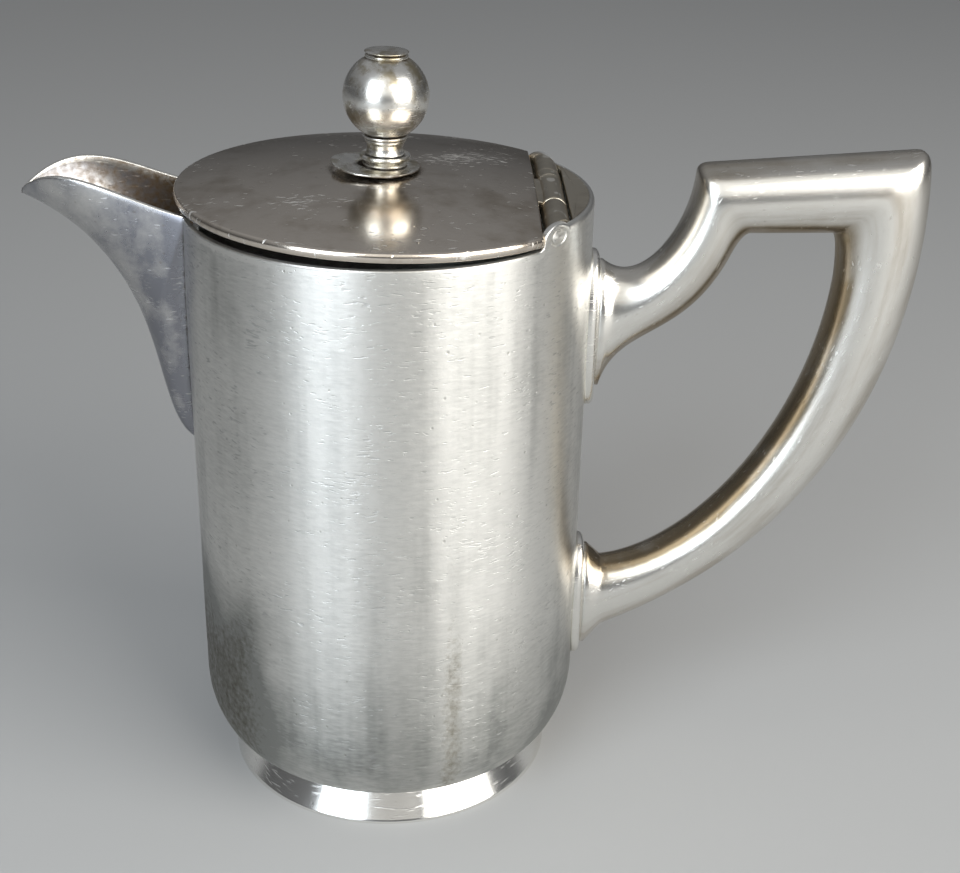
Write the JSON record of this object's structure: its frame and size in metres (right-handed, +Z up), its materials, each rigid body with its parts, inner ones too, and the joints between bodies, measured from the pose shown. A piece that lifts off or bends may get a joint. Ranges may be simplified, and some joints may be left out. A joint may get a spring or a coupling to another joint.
{
  "type": "cream jug",
  "caption": "Cylindrical silver cream jug with an open beak spout, a domed lid hinged at the handle side with a ball finial, a hollow angular handle and a foot ring.",
  "frame": {"origin": "on the table, under the middle of the jug's box", "axes": "+X from the spout to the handle, +Y away from the near side, +Z up"},
  "size_m": [0.1544, 0.072, 0.1341],
  "materials": {
    "body_silver": "worn satin silver plate with fine scratches",
    "foot_silver": "brighter silver plate, rubbed smooth",
    "spout_silver": "satin silver plate, tarnished brown inside",
    "lid_silver": "dull scratched silver plate",
    "hinge_silver": "dull silver plate, dirt in the joints",
    "finial_silver": "satin silver plate",
    "handle_silver": "polished silver plate worn to satin",
    "fastener_brass": "plain turned brass"
  },
  "bodies": {
    "jug": {"body_shell": "body_silver", "foot_ring": "foot_silver", "spout": "spout_silver", "rear_top_plate": "hinge_silver", "hinge_knuckle_near": "hinge_silver", "hinge_knuckle_far": "hinge_silver", "hinge_pin": "hinge_silver", "handle_half_near": "handle_silver", "handle_half_far": "handle_silver", "handle_upper_saddle": "handle_silver", "handle_lower_saddle": "handle_silver"},
    "lid": {"lid_plate": "lid_silver", "hinge_knuckle_lid": "hinge_silver", "finial_washer": "finial_silver", "finial_base": "finial_silver", "finial_neck": "finial_silver", "finial_ball": "finial_silver", "finial_bolt": "finial_silver", "finial_inner_washer": "fastener_brass", "finial_nut": "fastener_brass"}
  },
  "joints": [
    {"name": "lid_hinge", "type": "hinge", "parent": "jug", "child": "lid", "pos_m": [0.0124, 0, 0.1094], "axis": [0, 1, 0], "range_deg": [0, 105]}
  ]
}
